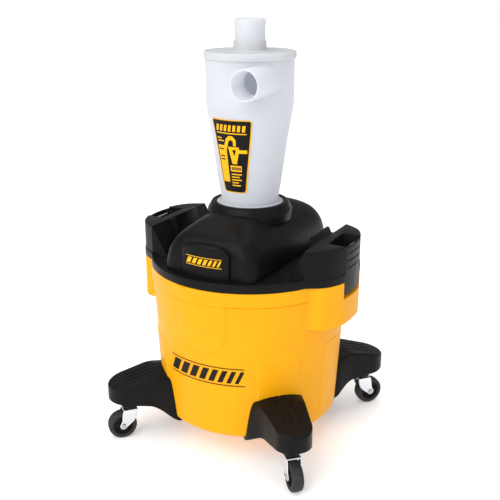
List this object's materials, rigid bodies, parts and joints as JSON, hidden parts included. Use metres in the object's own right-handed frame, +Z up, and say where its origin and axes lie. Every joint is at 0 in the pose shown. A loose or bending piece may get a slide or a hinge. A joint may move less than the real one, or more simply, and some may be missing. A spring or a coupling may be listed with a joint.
{
  "type": "dust collector",
  "caption": "Two-stage dust separator: a translucent cyclone with two hose ports on a latched domed lid, over a round tank carried by four arms with swivel casters.",
  "frame": {"origin": "on the floor, on the vertical axis that the tank and the cyclone share", "axes": "+Z up; -Y towards the front, where the badge and the label are; +X to the right of someone facing the front"},
  "size_m": [0.406, 0.3987, 0.751],
  "materials": {
    "tank_plastic": "satin moulded yellow plastic with a fine grain",
    "black_plastic": "satin moulded black plastic with a fine grain",
    "milky_plastic": "translucent natural plastic, satin",
    "white_plastic": "satin white plastic",
    "hub_plastic": "black moulded plastic",
    "seal_rubber": "soft black foam rubber",
    "tyre_rubber": "hard grey tread rubber",
    "zinc_steel": "bright zinc plate",
    "steel": "plain steel",
    "label": "printed film, black and yellow",
    "print": "printed film",
    "badge": "printed plate"
  },
  "bodies": {
    "base": {"tank": "tank_plastic", "tank_decal": "print", "arm_front_left": "black_plastic", "arm_front_right": "black_plastic", "arm_back_right": "black_plastic", "arm_back_left": "black_plastic", "arm_screw_front_left_inner": "zinc_steel", "arm_screw_front_left_outer": "zinc_steel", "arm_screw_front_right_inner": "zinc_steel", "arm_screw_front_right_outer": "zinc_steel", "arm_screw_back_right_inner": "zinc_steel", "arm_screw_back_right_outer": "zinc_steel", "arm_screw_back_left_inner": "zinc_steel", "arm_screw_back_left_outer": "zinc_steel", "caster_stem_front_left": "steel", "caster_stem_front_right": "steel", "caster_stem_back_right": "steel", "caster_stem_back_left": "steel"},
    "lid": {"lid_shell": "black_plastic", "lid_gasket": "seal_rubber", "lid_badge": "badge", "latch_pin_right": "steel", "latch_pin_left": "steel", "cyclone_body": "milky_plastic", "cyclone_cap": "white_plastic", "outlet_tube": "milky_plastic", "cone_label": "label", "flange_gasket": "seal_rubber", "flange_clamp_ring": "zinc_steel", "clamp_screw_1": "zinc_steel", "clamp_screw_2": "zinc_steel", "clamp_screw_3": "zinc_steel", "clamp_screw_4": "zinc_steel", "clamp_screw_5": "zinc_steel", "clamp_screw_6": "zinc_steel"},
    "latch_right": {"latch_right": "black_plastic"},
    "latch_left": {"latch_left": "black_plastic"},
    "caster_front_left": {"caster_fork_front_left": "zinc_steel", "caster_axle_front_left": "steel"},
    "wheel_front_left": {"wheel_hub_front_left": "hub_plastic", "wheel_tyre_front_left": "tyre_rubber"},
    "caster_front_right": {"caster_fork_front_right": "zinc_steel", "caster_axle_front_right": "steel"},
    "wheel_front_right": {"wheel_hub_front_right": "hub_plastic", "wheel_tyre_front_right": "tyre_rubber"},
    "caster_back_right": {"caster_fork_back_right": "zinc_steel", "caster_axle_back_right": "steel"},
    "wheel_back_right": {"wheel_hub_back_right": "hub_plastic", "wheel_tyre_back_right": "tyre_rubber"},
    "caster_back_left": {"caster_fork_back_left": "zinc_steel", "caster_axle_back_left": "steel"},
    "wheel_back_left": {"wheel_hub_back_left": "hub_plastic", "wheel_tyre_back_left": "tyre_rubber"}
  },
  "joints": [
    {"name": "lid_lift", "type": "slide", "parent": "base", "child": "lid", "axis": [0, 0, 1], "range_m": [0, 0.35]},
    {"name": "latch_right_swing", "type": "hinge", "parent": "lid", "child": "latch_right", "pos_m": [0.1935, 0, 0.383], "axis": [0, -1, 0], "range_deg": [0, 60]},
    {"name": "latch_left_swing", "type": "hinge", "parent": "lid", "child": "latch_left", "pos_m": [-0.1935, 0, 0.383], "axis": [0, 1, 0], "range_deg": [0, 60]},
    {"name": "swivel_front_left", "type": "hinge", "parent": "base", "child": "caster_front_left", "pos_m": [-0.16725, -0.16151, 0.063], "axis": [0, 0, 1], "continuous": true},
    {"name": "roll_front_left", "type": "hinge", "parent": "caster_front_left", "child": "wheel_front_left", "pos_m": [-0.17709, -0.17283, 0.0265], "axis": [0.7547, -0.6561, 0], "continuous": true},
    {"name": "swivel_front_right", "type": "hinge", "parent": "base", "child": "caster_front_right", "pos_m": [0.16725, -0.16151, 0.063], "axis": [0, 0, 1], "continuous": true},
    {"name": "roll_front_right", "type": "hinge", "parent": "caster_front_right", "child": "wheel_front_right", "pos_m": [0.17767, -0.1723, 0.0265], "axis": [0.7193, 0.6947, 0], "continuous": true},
    {"name": "swivel_back_right", "type": "hinge", "parent": "base", "child": "caster_back_right", "pos_m": [0.16725, 0.16151, 0.063], "axis": [0, 0, 1], "continuous": true},
    {"name": "roll_back_right", "type": "hinge", "parent": "caster_back_right", "child": "wheel_back_right", "pos_m": [0.17689, 0.173, 0.0265], "axis": [-0.766, 0.6428, 0], "continuous": true},
    {"name": "swivel_back_left", "type": "hinge", "parent": "base", "child": "caster_back_left", "pos_m": [-0.16725, 0.16151, 0.063], "axis": [0, 0, 1], "continuous": true},
    {"name": "roll_back_left", "type": "hinge", "parent": "caster_back_left", "child": "wheel_back_left", "pos_m": [-0.17475, 0.1745, 0.0265], "axis": [-0.866, -0.5, 0], "continuous": true}
  ]
}
